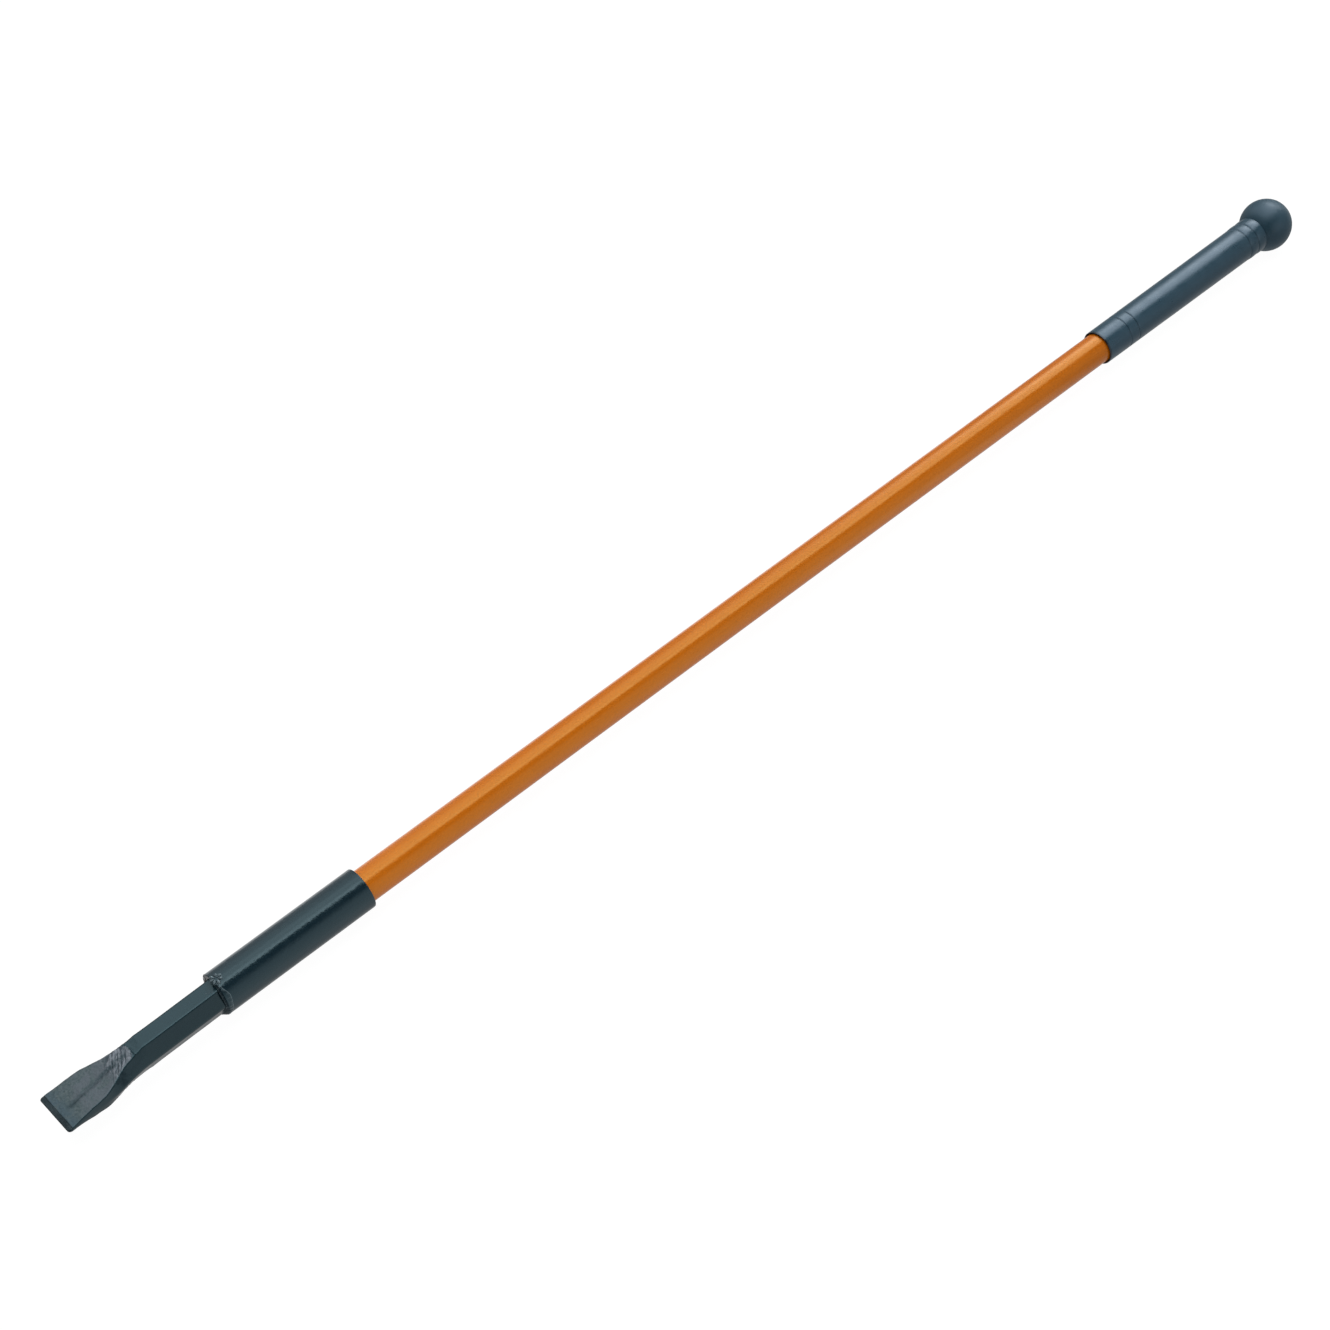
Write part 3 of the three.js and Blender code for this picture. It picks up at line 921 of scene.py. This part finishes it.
def forged_scale_colour(tree, place, x, mottle, speck):
    """Grey scale with clouds of purple, teal towards the edge and darker blotches."""
    scale = tree.mix(tree.between(speck, 0.38, 0.62), (0.036, 0.052, 0.056), (0.072, 0.090, 0.094))
    cloud = tree.noise(place, 15, 4, 0.6, 0.8)
    purple = tree.times(tree.between(cloud, 0.46, 0.58), tree.between(x, 8, 30))
    scale = tree.mix(tree.times(purple, 0.8), scale, (0.080, 0.088, 0.104))
    teal = tree.times(tree.between(x, 17, 6), tree.between(mottle, 0.35, 0.6, 0.0, 0.9))
    scale = tree.mix(teal, scale, (0.034, 0.057, 0.076))
    blotch = tree.between(tree.noise(place, 4.5, 5, 0.7, 0.5), 0.56, 0.68, 0, 0.6)
    return tree.mix(blotch, scale, (0.026, 0.042, 0.050))


RIM_ROUGHNESS = 0.7


def forged_paint_material():
    """The same paint on the forging: glossy on the rolled hexagon, dull and grey on the blade."""
    tree = new_material("slate_paint_on_forging")
    place = tree.coordinates()
    x, y, _ = tree.split(place)
    _, sideways, facing = tree.normal()
    upright = tree.math("ABSOLUTE", facing)
    blade = blade_mask(tree, place, x, y, upright)
    groove, streaks, patch = hammer_marks(tree, x, y)
    mottle = tree.noise(place, 8, 5, 0.62)
    speck = tree.noise(place, 2.2, 4, 0.7)
    # Painted shade: a dull dark line along the rounded rims on the +Y side, picked by the normal.
    rim = tree.times(tree.between(sideways, 0.10, 0.28), tree.between(upright, 0.985, 0.95))
    rim = tree.times(rim, tree.between(upright, 0.54, 0.64))
    clean = rolled_paint_colour(tree, x, upright, rim, mottle, speck)
    scale = forged_scale_colour(tree, place, x, mottle, speck)
    strokes = tree.mix(tree.between(streaks, 0.4, 0.62), (0.030, 0.036, 0.048), (0.21, 0.22, 0.25))
    scale = tree.mix(tree.times(patch, 0.85), scale, strokes)
    scale = tree.mix(tree.times(groove, 0.9), scale, (0.008, 0.018, 0.024))
    colour = tree.mix(blade, clean, scale)
    smooth = tree.between(mottle, 0.3, 0.7, 0.18, 0.28)
    dull = tree.between(speck, 0.3, 0.7, 0.40, 0.56)
    roughness = tree.between_numbers(blade, smooth, dull)
    roughness = tree.between_numbers(rim, roughness, RIM_ROUGHNESS)
    peel = tree.bump(tree.noise(place, 3.2, 2, 0.5), 0.14)
    normal = tree.bump(tree.times(tree.cells(place, 2.6), blade), 0.2, below=peel)
    normal = tree.bump(tree.times(streaks, patch, blade), 0.6, below=normal)
    shine = tree.between(rim, 0.0, 1.0, 0.5, 0.04)
    return tree.surface(colour, roughness, normal, shine, SLATE_SHINE)


def painted_weld_material():
    """Slate paint on weld metal, with painted highlights on its crests on the near side."""
    tree = new_material("slate_paint_on_weld")
    place = tree.coordinates()
    _, y, z = tree.split(place)
    radius = tree.math("SQRT", tree.plus(tree.math("POWER", y, 2), tree.math("POWER", z, 2)))
    # Painted highlight: pale crests, faded out towards the far (+Y) side.
    proud = tree.between(radius, TUBE_RADIUS + 0.35, TUBE_RADIUS + 0.8)
    pointed = tree.between(tree.pointedness(), 0.49, 0.56, 0, 0.6)
    near_side = tree.between(y, 13, 7)
    crest_highlight = tree.times(tree.math("MAXIMUM", proud, pointed), near_side)
    grain = tree.noise(place, 1.2, 4, 0.65)
    colour = tree.mix(grain, (0.004, 0.011, 0.016), (0.010, 0.021, 0.028))
    colour = tree.mix(crest_highlight, colour, (0.14, 0.18, 0.20))
    roughness = tree.between(grain, 0.3, 0.7, 0.2, 0.36)
    # Painted shade: the reflection is cut down on faces turned towards the blade, and more so on
    # the bead's +Y side.
    facing = tree.minus(tree.normal()[0], tree.between(y, 7, 13, 0, 0.45))
    shine = tree.between(facing, -0.55, -0.15, 0.08, 0.5)
    return tree.surface(colour, roughness, tree.bump(grain, 0.14), shine, SLATE_SHINE)


def orange_sleeve_material():
    """Semi-gloss orange extrusion with faint flow lines, handling marks and cloudy colour."""
    tree = new_material("orange_extruded_sleeve")
    place = tree.coordinates()
    flow = tree.coordinates((0.03, 1.0, 1.0))
    lines = tree.noise(flow, 1.3, 3, 0.6)
    cloud = tree.noise(place, 26, 4, 0.6)
    colour = tree.mix(cloud, (0.485, 0.110, 0.0022), (0.565, 0.136, 0.0035))
    colour = tree.mix(tree.times(lines, 0.3), colour, (0.55, 0.15, 0.005))
    marks = tree.noise(tree.coordinates((0.3, 1.0, 1.0)), 7, 6, 0.75)
    rubbed = tree.between(marks, 0.62, 0.78, 0, 0.35)
    colour = tree.mix(rubbed, colour, (0.35, 0.11, 0.02))
    roughness = tree.between(marks, 0.3, 0.75, 0.17, 0.3)
    normal = tree.bump(lines, 0.012)
    normal = tree.bump(tree.noise(place, 6, 2, 0.5), 0.04, below=normal)
    return tree.surface(colour, roughness, normal, 0.82, ORANGE_SHINE)


def grip_plastic_material():
    """Satin moulded plastic with a fine spark texture, painted shade in the grooves and a painted
    shadow at the mouth.
    """
    tree = new_material("slate_grip_plastic")
    place = tree.coordinates()
    spark = tree.noise(place, 0.8, 3, 0.6)
    cloud = tree.noise(place, 18, 4, 0.6)
    colour = tree.mix(cloud, (0.013, 0.044, 0.066), (0.020, 0.056, 0.082))
    # Painted shade in the ring grooves, found by the mesh's pointiness.
    groove_shade = tree.between(tree.pointedness(), 0.495, 0.47)
    colour = tree.mix(tree.times(groove_shade, 0.5), colour, (0.005, 0.012, 0.016))
    worn = tree.between(tree.noise(place, 6, 6, 0.75), 0.62, 0.8, 0, 0.5)
    colour = tree.mix(worn, colour, (0.030, 0.058, 0.078))
    # Painted shadow of the gap at the mouth: a dark ring at the lip's end.
    mouth_shadow = tree.between(tree.split(place)[0], GRIP_START + 2.2, GRIP_START + 1.2)
    colour = tree.mix(mouth_shadow, colour, (0.003, 0.006, 0.007))
    roughness = tree.between(cloud, 0.3, 0.7, 0.27, 0.36)
    return tree.surface(colour, roughness, tree.bump(spark, 0.03), 0.8, MOULDED_SHINE)


def ball_plastic_material():
    """Darker and duller plastic of the ball, cloudy with handling."""
    tree = new_material("slate_ball_plastic")
    place = tree.coordinates()
    spark = tree.noise(place, 0.9, 3, 0.6)
    cloud = tree.noise(place, 14, 5, 0.62)
    colour = tree.mix(cloud, (0.012, 0.042, 0.062), (0.019, 0.055, 0.081))
    rubbed = tree.between(tree.noise(place, 9, 6, 0.7), 0.55, 0.75, 0, 0.5)
    colour = tree.mix(rubbed, colour, (0.026, 0.050, 0.062))
    roughness = tree.between(cloud, 0.3, 0.7, 0.38, 0.48)
    return tree.surface(colour, roughness, tree.bump(spark, 0.04), 0.68, MOULDED_SHINE)


def glass_fibre_material():
    """Pultruded rod: long pale strands in amber resin."""
    tree = new_material("glass_fibre_rod")
    strands = tree.noise(tree.coordinates((0.02, 1.0, 1.0)), 0.7, 4, 0.7)
    resin = tree.noise(tree.coordinates(), 12, 4)
    colour = tree.mix(strands, (0.42, 0.37, 0.20), (0.72, 0.68, 0.48))
    colour = tree.mix(tree.times(resin, 0.4), colour, (0.55, 0.46, 0.24))
    roughness = tree.between(strands, 0.2, 0.8, 0.3, 0.55)
    return tree.surface(colour, roughness, tree.bump(strands, 0.05))


def warning_layer_material():
    """Matt pale yellow inner insulation with fine extrusion lines."""
    tree = new_material("warning_layer_plastic")
    lines = tree.noise(tree.coordinates((0.03, 1.0, 1.0)), 1.0, 3, 0.6)
    colour = tree.mix(lines, (0.74, 0.65, 0.26), (0.86, 0.79, 0.40))
    roughness = tree.between(lines, 0.2, 0.8, 0.5, 0.7)
    return tree.surface(colour, roughness, tree.bump(lines, 0.03))


def adhesive_material():
    """Cured epoxy with small trapped bubbles."""
    tree = new_material("cured_adhesive")
    place = tree.coordinates()
    bubbles = tree.between(tree.cells(place, 1.6), 0.12, 0.3)
    cloud = tree.noise(place, 5, 4)
    colour = tree.mix(cloud, (0.38, 0.30, 0.14), (0.55, 0.47, 0.27))
    colour = tree.mix(bubbles, (0.66, 0.6, 0.42), colour)
    roughness = tree.between(cloud, 0.3, 0.7, 0.3, 0.55)
    return tree.surface(colour, roughness, tree.bump(bubbles, 0.12))


# ---- assembly ----

def build_bar():
    paint = slate_paint_material()
    weld = painted_weld_material()
    finish_piece(build_chisel_bar(), forged_paint_material(), "slate_paint", "chisel_bar")
    finish_piece(build_socket_tube(), paint, "slate_paint", "socket_tube")
    finish_piece(build_socket_weld(), weld, "painted_weld", "socket_weld")
    finish_piece(build_plug_weld(), weld, "painted_weld", "plug_weld")
    finish_piece(build_spatter(), weld, "painted_weld")
    finish_piece(build_shaft_sleeve(), orange_sleeve_material(), "orange_sleeve", "outer_sleeve")
    finish_piece(build_grip(), grip_plastic_material(), "grip_plastic", "grip_sleeve")
    finish_piece(build_ball(), ball_plastic_material(), "ball_plastic", "ball_knob")


def dress_hidden_nodes():
    """CAD pieces inside the bar keep their shape and get their own material."""
    adhesive = adhesive_material()
    finishes = {
        "core_rod": glass_fibre_material(),
        "warning_layer": warning_layer_material(),
        "socket_adhesive": adhesive,
        "grip_adhesive": adhesive,
        "knob_adhesive": adhesive,
    }
    for name, material in finishes.items():
        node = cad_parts[name]
        node.data.materials.clear()
        node.data.materials.append(material)


# ---- studio ----

FLOOR_GLOW = 0.98
FLOOR_REACH = 15.0  # metres
FLOOR_DROP = 0.0005  # metres
# Painted shadow: for reflections the floor glows less in a strip under the bar and to the right of
# the shaft.
SHADED_GLOW = 0.5  # of the floor right under the bar, as the bar reflects it
SHADE_INNER = 12.0
SHADE_OUTER = 60.0
DIM_GLOW = 0.34  # of the floor to the right of the shaft, in the same way
DIM_START = 1080.0
DIM_END = 1300.0
# Brightness round the bar, in degrees from the zenith towards the camera side (-Y).
SKY_STOPS = [
    (-100, 0.2), (-88, 0.3), (-68, 0.8), (-50, 1.35), (-28, 1.6), (-19, 2.3), (0, 2.1),
    (8, 3.3), (18, 3.8), (20, 0.1), (44, 0.12), (62, 0.75), (80, 0.95), (90, 1.0),
]
SKY_PEAK = 3.8

# Where the sky differs along the bar. Angles as above, the rest by the ray's lean along X.
DIM_BEHIND_ANGLES, DIM_BEHIND_ALONG = (-34, -44), (0.26, 0.33)
DIM_FRONT_ANGLES, DIM_FRONT_ALONG = (40, 60), (0.47, 0.6)
DIMMING = 0.68
FAR_LEFT, FAR_LEFT_GLOW = (-0.5, -0.12), 0.12
WINDOW_RISE, WINDOW_FALL = (-62, -30), (6, -14)
WINDOW_START, WINDOW_END = (0.72, 0.78), (0.86, 0.76)
WINDOW_GLOW = 3.0
FLATTEST_RAY = 0.25  # keeps the slope finite at the horizon


def softbox_edge_shift(tree, slope):
    """Degrees that the softbox's front edge moves forward, by how far the ray leans along X."""
    forward = tree.between(slope, 0.24, 0.34, 0, 4.5)
    back = tree.between(slope, 0.5, 0.72, 0, 5.0)
    far_back = tree.between(slope, 0.7, 0.8, 0, 8.0)
    return tree.minus(forward, tree.plus(back, far_back))


def studio_world():
    """A wide softbox overhead with a sharp front edge, and a window behind it on the right."""
    world = bpy.data.worlds.new("studio")
    bpy.context.scene.world = world
    tree = Tree(world)
    direction = tree.add("ShaderNodeTexCoord").outputs["Generated"]
    along, across, up = tree.split(direction)
    angle = tree.math("ARCTAN2", tree.times(across, -1.0), up)
    degrees = tree.times(angle, 180 / math.pi)
    slope = tree.math("DIVIDE", along, tree.math("MAXIMUM", up, FLATTEST_RAY))
    shifted = tree.minus(degrees, softbox_edge_shift(tree, slope))
    place = tree.plus(tree.math("DIVIDE", shifted, 360.0), 0.5)
    ramp = tree.add("ShaderNodeValToRGB", {0: place})
    stops = ramp.color_ramp.elements
    stops.remove(stops[-1])
    for i, (at, value) in enumerate(SKY_STOPS):
        stop = stops[0] if i == 0 else stops.new(at / 360 + 0.5)
        stop.position = at / 360 + 0.5
        stop.color = (value / SKY_PEAK,) * 3 + (1,)
    # Behind the softbox and in front of the bar the room is dimmer on the right.
    behind = tree.between(degrees, *DIM_BEHIND_ANGLES)
    behind = tree.times(behind, tree.between(along, *DIM_BEHIND_ALONG))
    in_front = tree.between(degrees, *DIM_FRONT_ANGLES)
    in_front = tree.times(in_front, tree.between(along, *DIM_FRONT_ALONG))
    dimmed = tree.times(tree.plus(behind, in_front), DIMMING)
    far_left = tree.between(along, *FAR_LEFT, FAR_LEFT_GLOW, 1.0)
    softbox = tree.times(far_left, SKY_PEAK, ramp.outputs[0], tree.minus(1.0, dimmed))
    window = tree.times(tree.between(degrees, *WINDOW_RISE), tree.between(degrees, *WINDOW_FALL))
    window = tree.times(window, tree.between(slope, *WINDOW_START, 0, WINDOW_GLOW))
    window = tree.times(window, tree.between(along, *WINDOW_END))
    strength = tree.plus(softbox, window)
    lit = tree.add("ShaderNodeBackground", {0: (0.97, 0.99, 1.0), 1: strength})
    seen = tree.add("ShaderNodeBackground", {0: (1, 1, 1), 1: 1.0})
    chosen = tree.add("ShaderNodeMixShader", {
        0: tree.camera_ray(),
        1: lit.outputs[0],
        2: seen.outputs[0],
    })
    tree.show(chosen, "ShaderNodeOutputWorld")


def floor_material():
    """A pale floor that glows by itself, so the bar throws almost no shadow on it."""
    tree = new_material("studio_floor")
    place = tree.coordinates()
    tint = tree.mix(tree.noise(place, 40, 3), (0.99, 0.99, 0.99), (1.0, 1.0, 1.0))
    x, y, _ = tree.split(place)
    # Painted shadow, seen only in reflections: less glow under the bar and to the right of the
    # shaft.
    open_floor = tree.between(x, DIM_START, DIM_END, 1.0, DIM_GLOW)
    aside = tree.between(tree.math("ABSOLUTE", y), SHADE_INNER, SHADE_OUTER)
    reflected = tree.between_numbers(aside, SHADED_GLOW, open_floor)
    glow = tree.between_numbers(tree.camera_ray(), reflected, FLOOR_GLOW)
    emitted = tree.add("ShaderNodeEmission", {0: tint, 1: glow})
    scattered = tree.add("ShaderNodeBsdfDiffuse", {0: (0.06, 0.06, 0.06)})
    both = tree.add("ShaderNodeAddShader", {0: emitted.outputs[0], 1: scattered.outputs[0]})
    tree.show(both, "ShaderNodeOutputMaterial")
    return tree.owner


def build_floor():
    mesh = bpy.data.meshes.new("studio_floor")
    low = CAD_LOW.z - FLOOR_DROP
    corners = [(-1, -1), (1, -1), (1, 1), (-1, 1)]
    points = [(x * FLOOR_REACH, y * FLOOR_REACH, low) for x, y in corners]
    mesh.from_pydata(points, [], [(0, 1, 2, 3)])
    mesh.materials.append(floor_material())
    put_in_scene("studio_floor", mesh)


LENS = 66.32
SENSOR = 36.0
AIM_SHARE = 0.4313  # of the bar's length, from the cutting edge
DISTANCE_SHARE = 1.44793  # of the bar's length
SWING = math.radians(23.3)
TILT = math.radians(40.5)
ROLL = math.radians(36.26)
AIM_LIFT = 0.0003  # metres


def build_camera():
    """Looks down at the bar from its near side, rolled so that the bar rises to the right."""
    length = CAD_HIGH.x - CAD_LOW.x
    back = Vector((
        -math.sin(SWING),
        -math.cos(SWING) * math.sin(TILT),
        math.cos(SWING) * math.cos(TILT),
    ))
    bar_up = Vector((0, math.cos(TILT), math.sin(TILT)))
    bar_right = bar_up.cross(back)
    right = bar_right * math.cos(ROLL) - bar_up * math.sin(ROLL)
    up = bar_right * math.sin(ROLL) + bar_up * math.cos(ROLL)
    data = bpy.data.cameras.new("camera")
    data.lens = LENS
    data.sensor_width = SENSOR
    camera = put_in_scene("camera", data)
    aim = Vector((CAD_LOW.x + AIM_SHARE * length, 0, 0)) + bar_up * AIM_LIFT
    turn = Matrix((right, up, back)).transposed().to_4x4()
    camera.matrix_world = Matrix.Translation(aim + back * DISTANCE_SHARE * length) @ turn
    bpy.context.scene.camera = camera


build_bar()
dress_hidden_nodes()
studio_world()
build_floor()
build_camera()
bpy.context.scene.view_settings.view_transform = "Standard"
